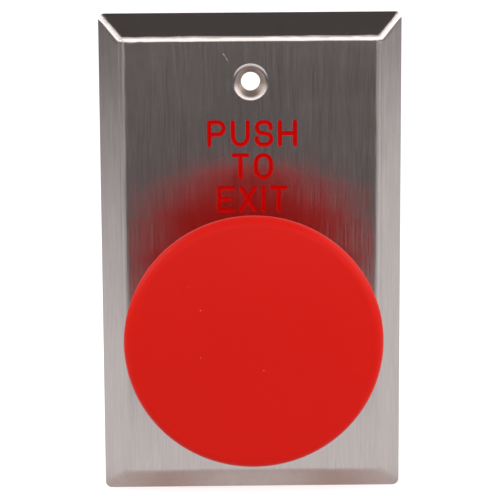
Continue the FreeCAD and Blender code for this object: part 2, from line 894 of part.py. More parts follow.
def plunger(side):
    """Plunger: round pin through the front wall, frame with a window, tail bored for the spring."""
    centre = side * plunger_centre
    half_w = plunger_frame_width / 2
    half_h = plunger_frame_height / 2
    pin = rod(plunger_pin_radius, plunger_tip, frame_front + join_depth, centre)
    pin = pin.makeChamfer(chamfer_small, edges_at(pin, y=plunger_tip))
    frame = block(centre - half_w, centre + half_w, frame_front, frame_back,
                  button_z - half_h, button_z + half_h)
    frame = rounded_corners(frame, centre, half_w, button_z, half_h, frame_corner)
    window = block(centre - window_width / 2, centre + window_width / 2, window_front, window_back,
                   button_z - half_h - reach, button_z + half_h + reach)
    bore = rod(tail_bore_radius, frame_back - tail_bore_depth, frame_back + reach, centre)
    return pin.fuse(frame).cut(window).cut(bore).removeSplitter()


def bridge_front(closing):
    """Front face of the moving bridge's strip at rest."""
    if closing:
        return window_back - free_clearance - strip_thickness
    return window_front + free_clearance + travel - contact_travel


def bridge(side, closing):
    """Moving bridge: a strip through the plunger's window with a contact at each end."""
    centre = side * plunger_centre
    y0 = bridge_front(closing)
    y1 = y0 + strip_thickness
    strip = block(centre - bridge_width / 2, centre + bridge_width / 2, y0, y1,
                  button_z - bridge_half_length, button_z + bridge_half_length)
    strip = rounded_corners(strip, centre, bridge_width / 2, button_z, bridge_half_length, strip_corner)
    for sign in (-1, 1):
        z = button_z + sign * contact_z
        if closing:
            strip = strip.fuse(rod(contact_radius, y1 - join_depth, y1 + contact_height, centre, z))
        else:
            strip = strip.fuse(rod(contact_radius, y0 - contact_height, y0 + join_depth, centre, z))
    return strip.removeSplitter()


def terminal(side, sign, closing):
    """Bent terminal strip with its fixed contact, tapped for the clamp screw."""
    centre = side * plunger_centre
    pad_back = pad_front + strip_thickness
    if closing:
        face = bridge_front(closing) + strip_thickness + contact_height + contact_travel + contact_gap
        finger_front = face + contact_height
        finger_back = finger_front + strip_thickness
    else:
        face = bridge_front(closing) - contact_height - contact_gap
        finger_back = face - contact_height
        finger_front = finger_back - strip_thickness
    inner_z = contact_z - contact_radius
    outline = [
        (inner_z, finger_front),
        (inner_z, finger_back),
        (riser_z - strip_thickness, finger_back),
        (riser_z - strip_thickness, pad_back),
        (terminal_end_z, pad_back),
        (terminal_end_z, pad_front),
        (riser_z, pad_front),
        (riser_z, finger_front),
    ]
    if closing:
        outline = [
            (inner_z, finger_front),
            (inner_z, finger_back),
            (riser_z, finger_back),
            (riser_z, pad_back),
            (terminal_end_z, pad_back),
            (terminal_end_z, pad_front),
            (riser_z - strip_thickness, pad_front),
            (riser_z - strip_thickness, finger_front),
        ]
    corners = [V(0, y, button_z + sign * z) for z, y in outline]
    strip = Part.Face(Part.makePolygon(corners + corners[:1])).extrude(V(terminal_width, 0, 0))
    strip.translate(V(centre - terminal_width / 2, 0, 0))
    end_z = button_z + sign * terminal_end_z
    ends = []
    for x_sign in (-1, 1):
        ends += edges_at(strip, x=centre + x_sign * terminal_width / 2, z=end_z)
    strip = strip.makeFillet(strip_corner, ends)
    if not closing:
        outer_z = button_z + sign * riser_z
        inner_side_z = button_z + sign * (riser_z - strip_thickness)
        inner_bends = edges_at(strip, y=pad_front, z=outer_z) + edges_at(strip, y=finger_back, z=inner_side_z)
        strip = strip.makeFillet(bend_inner, inner_bends)
        outer_bends = edges_at(strip, y=finger_front, z=outer_z) + edges_at(strip, y=pad_back, z=inner_side_z)
        strip = strip.makeFillet(bend_inner + strip_thickness, outer_bends)
    contact_axis = button_z + sign * contact_z
    if closing:
        button = rod(contact_radius, face, finger_front + join_depth, centre, contact_axis)
    else:
        button = rod(contact_radius, finger_back - join_depth, face, centre, contact_axis)
    tapped = rod(terminal_screw_radius + moulded_clearance, pad_front - reach, pad_back + reach, centre,
                 button_z + sign * clamp_z)
    return strip.fuse(button).cut(tapped).removeSplitter()


def clamp_plates(side):
    """Two clamp washers with rounded corners under the terminal screws."""
    centre = side * plunger_centre
    front = pad_front + strip_thickness + clamp_opening
    plates = []
    for sign in (-1, 1):
        z = button_z + sign * clamp_z
        half_w, half_h = clamp_width / 2, clamp_height / 2
        plate = block(centre - half_w, centre + half_w, front, front + clamp_thickness,
                      z - half_h, z + half_h)
        plate = rounded_corners(plate, centre, half_w, z, half_h, clamp_corner)
        hole = rod(terminal_screw_radius + moulded_clearance, front - reach, front + clamp_thickness + reach,
                   centre, z)
        plates.append(plate.cut(hole))
    return Part.Compound(plates)


def terminal_screws(side):
    """Two slotted terminal screws, backed off as delivered."""
    centre = side * plunger_centre
    seat = pad_front + strip_thickness + clamp_opening + clamp_thickness
    screws = []
    for sign in (-1, 1):
        z = button_z + sign * clamp_z
        shank = rod(terminal_screw_radius, pad_front - terminal_screw_below, seat, centre, z)
        top = seat + terminal_screw_head
        head = screw_head(terminal_screw_head_radius, seat, top, centre, z)
        screw = shank.fuse(head)
        screws.append(slotted(screw, top - slot_depth, top + reach, terminal_screw_head_radius, centre, z))
    return Part.Compound(screws)


def block_return_spring(side):
    """Spring in the plunger's tail, seated on the block's rear wall."""
    return coil(block_spring_radius, block_wire, block_return_turns, frame_back - tail_bore_depth,
                cavity_back, side * plunger_centre, button_z)


def bridge_spring(side, closing):
    """Contact spring in the window that keeps the bridge pressed on its contacts."""
    if closing:
        y0, y1 = window_front, bridge_front(closing)
    else:
        y0, y1 = bridge_front(closing) + strip_thickness, window_back
    return coil(block_spring_radius, block_wire, bridge_spring_turns, y0, y1,
                side * plunger_centre, button_z)


def contact_block(prefix, side, closing):
    """All the pieces of one contact block, by node name."""
    return {
        prefix + "_block_body": block_body(side),
        prefix + "_block_cover": block_cover(side),
        prefix + "_plunger": plunger(side),
        prefix + "_plunger_spring": block_return_spring(side),
        prefix + "_bridge": bridge(side, closing),
        prefix + "_bridge_spring": bridge_spring(side, closing),
        prefix + "_terminal_upper": terminal(side, 1, closing),
        prefix + "_terminal_lower": terminal(side, -1, closing),
        prefix + "_clamp_plates": clamp_plates(side),
        prefix + "_terminal_screws": terminal_screws(side),
    }


def build_nodes():
    """Every sub-part by node name."""
    nodes = {
        "face_plate": face_plate(),
        "front_gasket": front_gasket(),
        "operator_body": operator_body(),
        "wiper_seal": wiper_seal(),
        "mushroom_head": mushroom_head(),
        "head_insert": head_insert(),
        "stem": stem(),
        "return_spring": return_spring(),
        "retaining_clip": retaining_clip(),
        "pusher_disc": pusher_disc(),
        "pusher_screw": pusher_screw(),
        "lock_washer": lock_washer(),
        "ring_nut": ring_nut(),
        "mounting_collar": mounting_collar(),
        "set_screws": set_screws(),
    }
    nodes.update(contact_block("closing", -1, True))
    nodes.update(contact_block("opening", 1, False))
    return nodes


def main():
    """Write one STEP file per sub-part."""
    os.makedirs("parts", exist_ok=True)
    for name, shape in build_nodes().items():
        shape.exportStep("parts/" + name + ".step")
        box = shape.BoundBox
        print(name, len(shape.Solids), shape.isValid(), round(shape.Volume, 2),
              [round(v, 2) for v in (box.XMin, box.XMax, box.YMin, box.YMax, box.ZMin, box.ZMax)])


main()
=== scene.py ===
"""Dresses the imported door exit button: engraved plate, head, springs, finishes and studio.

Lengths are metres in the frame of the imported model: X to the right seen from the room,
Y into the wall, Z up, with the origin at the plate's centre on the wall's surface.
"""

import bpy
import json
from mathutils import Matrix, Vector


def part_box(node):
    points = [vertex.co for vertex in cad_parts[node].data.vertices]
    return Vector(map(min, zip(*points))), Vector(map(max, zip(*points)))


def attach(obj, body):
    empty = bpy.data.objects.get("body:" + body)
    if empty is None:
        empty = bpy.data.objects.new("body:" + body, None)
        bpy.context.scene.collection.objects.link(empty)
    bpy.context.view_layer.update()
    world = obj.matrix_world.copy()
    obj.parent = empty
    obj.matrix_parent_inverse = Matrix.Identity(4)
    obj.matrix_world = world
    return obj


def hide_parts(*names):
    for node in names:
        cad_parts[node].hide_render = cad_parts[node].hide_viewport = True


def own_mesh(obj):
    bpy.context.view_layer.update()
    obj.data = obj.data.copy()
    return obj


bl_info = {
    "name": "Door exit button",
    "version": (1, 0, 0),
    "blender": (4, 5, 0),
    "location": "View3D > Sidebar > Exit button",
    "description": "Engraves, finishes and lights a mushroom exit button on its wall plate",
    "category": "Object",
}

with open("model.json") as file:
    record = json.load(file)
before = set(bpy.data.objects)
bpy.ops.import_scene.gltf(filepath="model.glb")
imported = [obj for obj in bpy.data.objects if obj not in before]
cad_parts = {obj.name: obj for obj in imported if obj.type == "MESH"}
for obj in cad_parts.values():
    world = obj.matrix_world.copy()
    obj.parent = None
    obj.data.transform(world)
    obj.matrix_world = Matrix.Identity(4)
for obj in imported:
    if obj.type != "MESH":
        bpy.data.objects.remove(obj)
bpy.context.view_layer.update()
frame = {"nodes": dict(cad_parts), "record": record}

import json
import math

import bmesh
import bpy
from bpy.props import FloatProperty, FloatVectorProperty, IntProperty, PointerProperty
from mathutils import Matrix, Vector

MM = 0.001
PLATE_LOW, PLATE_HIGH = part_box("face_plate")
HEAD_LOW, HEAD_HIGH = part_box("mushroom_head")
AXIS_Z = (HEAD_LOW.z + HEAD_HIGH.z) / 2
HEAD_SHELL = 2.3 * MM
HEAD_HOLLOW = 24.3 * MM
PLATE_FRONT = PLATE_LOW.y
FLOOR_Z = PLATE_LOW.z
BEVEL_WIDTH = 5.1 * MM
CREASE_X = PLATE_HIGH.x - BEVEL_WIDTH
CREASE_Z = PLATE_HIGH.z - BEVEL_WIDTH
BOX_SCREW_Z = 41.67 * MM
# Marks on the plate's front, as in the photo.
SCRATCH_X, SCRATCH_Z, SCRATCH_STEEPNESS = -5.7 * MM, 47.6 * MM, 1.6
STAIN_X, STAIN_Z = -1.3 * MM, 36.2 * MM
STAIN_HALF_WIDTH, STAIN_HALF_HEIGHT = 0.55 * MM, 0.9 * MM


def srgb(red, green, blue):
    """Linear colour of an sRGB colour given in 0 to 255."""
    out = []
    for value in (red, green, blue):
        share = value / 255
        out.append(share / 12.92 if share <= 0.04045 else ((share + 0.055) / 1.055) ** 2.4)
    return tuple(out)


class LetteringSettings(bpy.types.PropertyGroup):
    """Sizes and paint of the engraved words."""

    height: FloatProperty(
        name="Letter height", description="Height of a letter over its strokes",
        default=6.33 * MM, unit="LENGTH")
    condense: FloatProperty(
        name="Letter width factor", description="Widths of the letters against their drawing",
        default=0.905, min=0.5, max=1.5)
    stroke: FloatProperty(
        name="Stroke width", description="Width of an engraved stroke",
        default=1.04 * MM, unit="LENGTH")
    depth: FloatProperty(
        name="Groove depth", description="Depth of an engraved stroke", default=0.24 * MM, unit="LENGTH")
    gap: FloatProperty(
        name="Letter gap", description="Space between two letters", default=0.95 * MM, unit="LENGTH")
    pitch: FloatProperty(
        name="Line pitch", description="Height from one line of words to the next",
        default=7.76 * MM, unit="LENGTH")
    first_line: FloatProperty(
        name="First line", description="Height of the first line's middle",
        default=29.72 * MM, unit="LENGTH")
    shift: FloatProperty(
        name="Sideways shift", description="Offset of the words from the button's axis",
        default=0.28 * MM, unit="LENGTH")
    mark_size: FloatProperty(
        name="Block marking size", description="Size of the blocks' markings against the plate's letters",
        default=0.55, min=0.1, max=1.0)
    marker_recess: FloatProperty(
        name="Marker recess", description="Depth of the recess that the blocks' markings stand in",
        default=0.3 * MM, unit="LENGTH")
    paint: FloatVectorProperty(
        name="Paint", description="Colour of the paint in the strokes", subtype="COLOR",
        default=srgb(199, 3, 1))


class FinishSettings(bpy.types.PropertyGroup):
    """Colours of the main finishes."""

    steel: FloatVectorProperty(
        name="Plate steel", description="Colour of the brushed plate", subtype="COLOR",
        default=(0.50, 0.450, 0.438))
    steel_roughness: FloatProperty(
        name="Plate roughness", description="Roughness along the brushed grain",
        default=0.17, min=0.0, max=1.0)
    steel_grain: FloatProperty(
        name="Plate grain", description="Sideways slope of the brush lines",
        default=0.95, min=0.0, max=4.0)
    crease_slope: FloatProperty(
        name="Crease slope", description="Slope of the roll where it meets a side bevel",
        default=0.5, min=0.0, max=1.0)
    lip_slope: FloatProperty(
        name="Lip slope", description="Slope of the dimple's lip, away from the hole",
        default=0.42, min=0.0, max=1.0)
    lip_radius: FloatProperty(
        name="Lip radius", description="Radius at which the lip has its slope", default=4.0 * MM,
        unit="LENGTH")
    head: FloatVectorProperty(
        name="Head red", description="Colour of the moulded head", subtype="COLOR",
        default=srgb(218, 26, 16))
    # Painted glow inside the head's hollow back.
    head_glow: FloatProperty(
        name="Head glow", description="Share of its colour that the head gives off inside",
        default=0.2, min=0.0, max=1.0)
    chrome: FloatVectorProperty(
        name="Bezel metal", description="Colour of the satin bezel", subtype="COLOR",
        default=(0.74, 0.74, 0.75))


class ThreadSettings(bpy.types.PropertyGroup):
    """Thread of the operator's tube."""

    tube_radius: FloatProperty(
        name="Tube radius", description="Outer radius of the thread", default=11.0 * MM, unit="LENGTH")
    pitch: FloatProperty(name="Pitch", description="Pitch of the thread", default=1.0 * MM, unit="LENGTH")
    groove: FloatProperty(
        name="Groove size", description="Half diagonal of the groove's section", default=0.42 * MM,
        unit="LENGTH")


class SpringSettings(bpy.types.PropertyGroup):
    """Facts of the wound springs that the frame does not hold."""

    return_turns: FloatProperty(
        name="Return turns", description="Turns of the main return spring", default=6.5, min=1.0)
    block_turns: FloatProperty(
        name="Plunger turns", description="Turns of a plunger's spring", default=8.0, min=1.0)
    contact_turns: FloatProperty(
        name="Contact turns", description="Turns of a contact spring", default=6.0, min=1.0)
    sides: IntProperty(
        name="Wire sides", description="Sides of the wire's section", default=10, min=3)


class StageSettings(bpy.types.PropertyGroup):
    """Camera, floor and lights."""

    lens: FloatProperty(name="Lens", description="Focal length in millimetres", default=221.0, min=1.0)
    distance: FloatProperty(
        name="Camera distance", description="From the camera to its target", default=719.0 * MM,
        unit="LENGTH")
    azimuth: FloatProperty(
        name="Camera azimuth", description="Turn of the camera about the upright axis",
        default=math.radians(-0.87), subtype="ANGLE")
    elevation: FloatProperty(
        name="Camera elevation", description="Height of the camera over the horizon",
        default=math.radians(13.98), subtype="ANGLE")
    roll: FloatProperty(
        name="Camera roll", description="Turn of the camera about its line of sight",
        default=math.radians(-0.30), subtype="ANGLE")
    target: FloatVectorProperty(
        name="Camera target", description="Point that the camera looks at", subtype="TRANSLATION",
        default=(-0.26 * MM, 0.0, 0.86 * MM))
    key_power: FloatProperty(
        name="Key power", description="Power of the key lamp in watts", default=2.7, min=0.0)
    fill_power: FloatProperty(
        name="Fill power", description="Power of each fill lamp in watts", default=1.2, min=0.0)
    rim_power: FloatProperty(
        name="Rim power", description="Power of each lamp that lights the head from behind",
        default=0.32, min=0.0)
    floor_white: FloatProperty(
        name="Floor white to", description="Distance up to which the mirrored floor is white",
        default=0.05, unit="LENGTH")
    floor_dark: FloatProperty(
        name="Floor dark from", description="Distance from which the mirrored floor is dark",
        default=0.25, unit="LENGTH")
    world: FloatProperty(
        name="World level", description="Strength of the world's light on matt surfaces",
        default=0.55, min=0.0)


class Wire:
    """An output socket of a shader node, on which Python arithmetic adds Math nodes."""

    def __init__(self, shader, socket):
        self.shader = shader
        self.socket = socket

    def math(self, operation, *others):
        """Result of a Math node whose first input is this wire."""
        node = self.shader.node(
            "ShaderNodeMath", {"operation": operation}, dict(enumerate((self,) + others)))
        return node.out(0)

    def __add__(self, other):
        return self.math("ADD", other)

    def __sub__(self, other):
        return self.math("SUBTRACT", other)

    def __rsub__(self, other):
        minus = self.math("MULTIPLY", -1.0)
        return minus.math("ADD", other)

    def __mul__(self, other):
        return self.math("MULTIPLY", other)

    def __truediv__(self, other):
        return self.math("DIVIDE", other)

    def __pow__(self, other):
        return self.math("POWER", other)

    def step(self, low, high):
        """0 below low, 1 above high and smooth between them."""
        node = self.shader.node(
            "ShaderNodeMapRange", {"interpolation_type": "SMOOTHSTEP"},
            {"Value": self, "From Min": low, "From Max": high})
        return node.out("Result")


class NodeHandle:
    """A node that was added, with its outputs as wires."""

    def __init__(self, shader, node):
        self.shader = shader
        self.node = node

    def out(self, name):
        return Wire(self.shader, self.node.outputs[name])


class Shader:
    """A material's node tree, with one method that adds any node."""

    def __init__(self, name):
        self.material = bpy.data.materials.new(name)
        self.material.use_nodes = True
        self.tree = self.material.node_tree
        self.tree.nodes.clear()
        self.coordinates = self.node("ShaderNodeTexCoord").out("Object")

    def node(self, kind, settings=None, inputs=None):
        """Adds a node, sets its own settings first and then its sockets' values or links."""
        node = self.tree.nodes.new(kind)
        for key, value in (settings or {}).items():
            setattr(node, key, value)
        for key, value in (inputs or {}).items():
            if isinstance(value, Wire):
                self.tree.links.new(value.socket, node.inputs[key])
            else:
                node.inputs[key].default_value = value
        return NodeHandle(self, node)

    def noise(self, scale, detail=3.0, roughness=0.5, stretch=(1.0, 1.0, 1.0)):
        """Noise over stretched object coordinates, with its scale per metre."""
        place = self.node("ShaderNodeMapping", None, {"Vector": self.coordinates, "Scale": stretch})
        return self.node(
            "ShaderNodeTexNoise", {"noise_dimensions": "3D"},
            {"Vector": place.out("Vector"), "Scale": scale, "Detail": detail, "Roughness": roughness}
        ).out("Fac")

    def mix(self, factor, first, second):
        """Colour between two colours."""
        node = self.tree.nodes.new("ShaderNodeMix")
        node.data_type = "RGBA"
        for index, value in ((0, factor), (6, first), (7, second)):
            if isinstance(value, Wire):
                self.tree.links.new(value.socket, node.inputs[index])
            elif index == 0:
                node.inputs[index].default_value = value
            else:
                node.inputs[index].default_value = tuple(value)[:3] + (1.0,)
        return Wire(self, node.outputs[2])

    def bump(self, height, distance, strength):
        """Normal from a height in 0 to 1 that stands for a depth in metres."""
        return self.node(
            "ShaderNodeBump", None, {"Height": height, "Distance": distance, "Strength": strength}
        ).out("Normal")

    def leaned(self, normal, across, up):
        """Normal leaned along X and Z by varying slopes."""
        slope = self.node("ShaderNodeCombineXYZ", None, {"X": across, "Z": up}).out("Vector")
        added = self.node("ShaderNodeVectorMath", {"operation": "ADD"}, {0: normal, 1: slope})
        unit = self.node("ShaderNodeVectorMath", {"operation": "NORMALIZE"}, {0: added.out("Vector")})
        return unit.out("Vector")

    def axes(self):
        """The three object coordinates as wires."""
        split = self.node("ShaderNodeSeparateXYZ", None, {"Vector": self.coordinates})
        return split.out("X"), split.out("Y"), split.out("Z")

    def surface(self, **sockets):
        """Closes the tree with one principled surface, its sockets named with underscores."""
        inputs = {}
        for key, value in sockets.items():
            if isinstance(value, tuple) and key == "Base_Color":
                value = tuple(value)[:3] + (1.0,)
            inputs[key.replace("_", " ")] = value
        shader = self.node("ShaderNodeBsdfPrincipled", None, inputs)
        self.node("ShaderNodeOutputMaterial", None, {"Surface": shader.out("BSDF")})
        return self.material


def shade(colour, factor):
    """A colour made darker or lighter by a factor."""
    return tuple(min(1.0, value * factor) for value in tuple(colour)[:3])


def scratch_mark(x, z):
    """Short slanted scratch up and left of the screw hole, 1 inside it and 0 around it."""
    dx, dz = x - SCRATCH_X, z - SCRATCH_Z
    across = (dz + dx * SCRATCH_STEEPNESS).math("ABSOLUTE")
    along = (dz * SCRATCH_STEEPNESS - dx).math("ABSOLUTE")
    return (1 - across.step(0.05 * MM, 0.3 * MM)) * (1 - along.step(1.6 * MM, 2.2 * MM))


def stain_mark(x, z):
    """Small upright stain under the screw hole, 1 inside it and 0 around it."""
    dx = (x - STAIN_X) / STAIN_HALF_WIDTH
    dz = (z - STAIN_Z) / STAIN_HALF_HEIGHT
    return 1 - (dx * dx + dz * dz).step(0.3, 1.3)


def dimple_lip(x, out_z):
    """Outer half of the lip round a dimple, where out_z is the height away from the plate's middle."""
    rise = out_z - 0.25 * MM
    radius = (x * x + rise * rise) ** 0.5
    ring = radius.step(3.15 * MM, 3.6 * MM) * (1 - radius.step(3.9 * MM, 4.25 * MM))
    return ring * out_z.step(-1.5 * MM, 1.5 * MM)


def crease_roll(x, z):
    """Share of the roll into the side creases, which ends at the bevels."""
    across, upright = x.math("ABSOLUTE"), z.math("ABSOLUTE")
    roll = across.step(CREASE_X - 1.6 * MM, CREASE_X)
    roll = roll * (1 - across.step(CREASE_X + 0.1 * MM, CREASE_X + 0.4 * MM))
    return roll * (1 - upright.step(CREASE_Z - 0.6 * MM, CREASE_Z))


def plate_steel(settings):
    """Stainless steel with an upright brushed grain, a scratch, a stain, softly rolled creases and painted
    shade in and round the screw dimples.
    """
    s = Shader("plate_brushed_steel")
    fine = s.noise(7000.0, 2.0, 0.6, (1.0, 1.0, 0.03))
    middle = s.noise(2600.0, 3.0, 0.6, (1.0, 1.0, 0.035))
    broad = s.noise(260.0, 3.0, 0.55, (1.0, 1.0, 0.12))
    cloud = s.noise(38.0, 2.0, 0.5)
    lines = s.noise(120000.0, 0.0, 0.5, (1.0, 1.0, 0.0008))
    x, y, z = s.axes()
    front = 1 - (y - PLATE_FRONT).step(0.2 * MM, 0.4 * MM)
    scratch, stain = scratch_mark(x, z), stain_mark(x, z)
    out_z = z.math("ABSOLUTE") - BOX_SCREW_Z
    # Painted shade: brown in the cones of the screw dimples, which are also made rougher.
    dimple_painted_shade = (1 - ((x * x + out_z * out_z) ** 0.5).step(2.8 * MM, 4.4 * MM)) * 0.7
    lip = dimple_lip(x, out_z)

    colour = s.mix(fine * 0.5 + middle * 0.5, shade(settings.steel, 0.76), shade(settings.steel, 1.26))
    colour = s.mix(broad.step(0.35, 0.75) * 0.25, colour, shade(settings.steel, 0.8))
    colour = s.mix(scratch * front * 0.35, colour, (0.95, 0.93, 0.9))
    colour = s.mix(stain * front * 0.7 * middle.step(0.35, 0.6), colour, (0.62, 0.47, 0.33))
    colour = s.mix(dimple_painted_shade, colour, (0.34, 0.26, 0.21))
    # Painted shade on the outer half of each dimple's lip.
    colour = s.mix(lip, colour, shade(settings.steel, 0.48))

    rough = fine * 0.08 + middle * 0.08 + cloud * 0.05 + dimple_painted_shade * 0.4 + scratch * 0.1
    rough = rough + (settings.steel_roughness - 0.105)

    brushed = (lines * 0.95 + fine * 0.05 - 0.5) * settings.steel_grain
    rolled = crease_roll(x, z) * front * x.math("SIGN") * settings.crease_slope
    tilt = lip * (settings.lip_slope / settings.lip_radius)
    grain = s.bump(fine * 0.55 + middle * 0.45, 0.0030 * MM, 0.6)
    normal = s.leaned(grain, brushed + rolled + tilt * x, tilt * out_z * z.math("SIGN"))
    return s.surface(Base_Color=colour, Metallic=1.0, Roughness=rough, Normal=normal)


def letter_paint(settings):
    """Enamel in the engraved strokes, thicker in places."""
    s = Shader("letter_enamel")
    pool = s.noise(900.0, 2.0)
    colour = s.mix(pool, shade(settings.paint, 0.82), shade(settings.paint, 1.12))
    return s.surface(
        Base_Color=colour, Roughness=pool * 0.2 + 0.35, Specular_IOR_Level=0.04,
        Normal=s.bump(pool, 0.03 * MM, 0.5))


def head_plastic(settings):
    """Satin red moulding with an orange peel, a few pale specks and a painted glow inside its hollow back.
    """
    s = Shader("head_red_plastic")
    peel = s.noise(1500.0, 3.0)
    cloud = s.noise(45.0, 3.0)
    speck_cells = s.node(
        "ShaderNodeTexVoronoi", {"feature": "F1"},
        {"Vector": s.coordinates, "Scale": 420.0, "Randomness": 1.0})
    near = 1 - speck_cells.out("Distance").step(0.030, 0.055)
    chosen = s.node(
        "ShaderNodeSeparateColor", None, {"Color": speck_cells.out("Color")}).out("Red").step(0.90, 0.91)
    colour = s.mix(cloud, shade(settings.head, 0.96), shade(settings.head, 1.03))
    colour = s.mix(near * chosen * 0.55, colour, (0.95, 0.72, 0.68))
    rough = cloud * 0.08 + peel * 0.06 + 0.34
    x, y, z = s.axes()
    height = z - AXIS_Z
    radius = (x * x + height * height) ** 0.5
    behind = HEAD_LOW.y + HEAD_SHELL
    inside = y.step(behind - 0.3 * MM, behind) * (1 - radius.step(HEAD_HOLLOW, HEAD_HOLLOW + 0.5 * MM))
    # Painted glow: the hollow back gives off a share of the head's red, though no lamp is there.
    painted_glow = s.mix(inside * (cloud * 0.4 + 0.8), (0.0, 0.0, 0.0), shade(settings.head, settings.head_glow))
    return s.surface(
        Base_Color=colour, Roughness=rough, Specular_IOR_Level=0.09,
        Emission_Color=painted_glow, Emission_Strength=1.0, Normal=s.bump(peel, 0.010 * MM, 0.5))


def metal(name, colour, roughness, grain, stretch=(1.0, 1.0, 1.0), depth=0.004):
    """Plated, turned or cast metal: a tone that wanders, a grain and its bump, depth in millimetres."""
    s = Shader(name)
    fine = s.noise(grain, 3.0, 0.6, stretch)
    cloud = s.noise(90.0, 3.0)
    tone = s.mix(fine * 0.6 + cloud * 0.4, shade(colour, 0.88), shade(colour, 1.12))
    rough = fine * 0.14 + cloud * 0.10 + (roughness - 0.12)
    return s.surface(
        Base_Color=tone, Metallic=1.0, Roughness=rough, Normal=s.bump(fine, depth * MM, 0.6))


def moulding(name, colour, roughness, grain=2200.0, depth=0.02):
    """Moulded plastic or rubber with a spark-eroded texture, its depth in millimetres, and flow shades."""
    s = Shader(name)
    fine = s.noise(grain, 2.0, 0.6)
    flow = s.noise(60.0, 3.0)
    tone = s.mix(flow * 0.7 + fine * 0.3, shade(colour, 0.82), shade(colour, 1.2))
    rough = fine * 0.16 + flow * 0.08 + (roughness - 0.12)
    return s.surface(Base_Color=tone, Roughness=rough, Normal=s.bump(fine, depth * MM, 0.6))


def clear_cover():
    """Clear cover with faint haze, so that the contacts show."""
    s = Shader("cover_clear_plastic")
    haze = s.noise(160.0, 3.0)
    alpha = haze * 0.16 + 0.10
    return s.surface(
        Base_Color=(0.72, 0.78, 0.80), Roughness=haze * 0.1 + 0.08, Alpha=alpha)


def new_object(name, mesh):
    """Object at the origin, linked to the scene."""
    thing = bpy.data.objects.new(name, mesh)
    bpy.context.scene.collection.objects.link(thing)
    return thing


def welded_copy(node, name):
    """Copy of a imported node's mesh with its doubled points merged."""
    mesh = frame["nodes"][node].data.copy()
    mesh.name = name
    work = bmesh.new()
    work.from_mesh(mesh)
    bmesh.ops.remove_doubles(work, verts=work.verts, dist=0.0005 * MM)
    work.to_mesh(mesh)
    work.free()
    if "custom_normal" in mesh.attributes:
        mesh.attributes.remove(mesh.attributes["custom_normal"])
    mesh.materials.clear()
    return new_object(name, mesh)


def smooth_faces(thing, angle):
    """Smooth shading that keeps edges sharper than an angle in degrees."""
    mesh = thing.data
    mesh.polygons.foreach_set("use_smooth", [True] * len(mesh.polygons))
    mesh.set_sharp_from_angle(angle=math.radians(angle))
    weighted = thing.modifiers.new("weighted", "WEIGHTED_NORMAL")
    weighted.keep_sharp = True
    weighted.weight = 90
    freeze(thing)


def freeze(thing):
    """Turns the object's modifiers into its own plain mesh."""
    bpy.context.view_layer.update()
    graph = bpy.context.evaluated_depsgraph_get()
    mesh = bpy.data.meshes.new_from_object(thing.evaluated_get(graph))
    mesh.name = thing.name
    old = thing.data
    thing.modifiers.clear()
    if thing.type == "MESH":
        thing.data = mesh
        bpy.data.meshes.remove(old)
        return thing
    name = thing.name
    bpy.data.objects.remove(thing)
    mesh.name = name
    return new_object(name, mesh)


def body_of(node):
    """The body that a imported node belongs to."""
    for body, members in frame["record"]["behaviour"]["bodies"].items():
        if node in members:
            return body
    raise RuntimeError("no body holds " + node)


def slot_of(node):
    """The record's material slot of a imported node."""
    for part in frame["record"]["subparts"]:
        if part["node"] == node:
            return part["material_slot"]
    raise RuntimeError("no slot for " + node)


def stands_for(thing, node):
    """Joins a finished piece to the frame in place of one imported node."""
    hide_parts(node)
    slot_of(node)
    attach(thing, body_of(node))


def dress(node, material, angle=32.0):
    """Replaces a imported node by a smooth-shaded copy of itself in a finish."""
    piece = welded_copy(node, node + "_finished")
    piece.data.materials.append(material)
    smooth_faces(piece, angle)
    stands_for(piece, node)


class Tree:
    """A Geometry Nodes tree with named inputs, ending in Realize Instances and Set Material."""

    def __init__(self, name, inputs):
        self.tree = bpy.data.node_groups.new(name, "GeometryNodeTree")
        self.names = {}
        face = self.tree.interface
        source = face.new_socket(name="Geometry", in_out="INPUT", socket_type="NodeSocketGeometry")
        self.names["Geometry"] = source.identifier
        for key, default in inputs.items():
            kind = "NodeSocketInt" if isinstance(default, int) else "NodeSocketFloat"
            socket = face.new_socket(name=key, in_out="INPUT", socket_type=kind)
            socket.default_value = default
            self.names[key] = socket.identifier
        face.new_socket(name="Geometry", in_out="OUTPUT", socket_type="NodeSocketGeometry")
        self.source = self.tree.nodes.new("NodeGroupInput")
        self.sink = self.tree.nodes.new("NodeGroupOutput")

    def add(self, kind, settings=None, inputs=None):
        """Adds a node, sets its settings and then its sockets' values or links."""
        node = self.tree.nodes.new(kind)
        for key, value in (settings or {}).items():
            setattr(node, key, value)
        for key, value in (inputs or {}).items():
            if isinstance(value, bpy.types.NodeSocket):
                self.tree.links.new(value, node.inputs[key])
            else:
                node.inputs[key].default_value = value
        return node

    def given(self, key):
        return self.source.outputs[key]

    def maths(self, operation, *values):
        return self.add("ShaderNodeMath", {"operation": operation}, dict(enumerate(values))).outputs[0]

    def finish(self, geometry, material):
        real = self.add("GeometryNodeRealizeInstances", None, {"Geometry": geometry})
        painted = self.add(
            "GeometryNodeSetMaterial", None, {"Geometry": real.outputs["Geometry"], "Material": material})
        self.tree.links.new(painted.outputs["Geometry"], self.sink.inputs[0])

    def run(self, thing, values):
        """Runs the tree on an object and leaves the result as a plain mesh."""
        modifier = thing.modifiers.new(self.tree.name, "NODES")
        modifier.node_group = self.tree
        for key, value in values.items():
            modifier[self.names[key]] = value
        return freeze(thing)


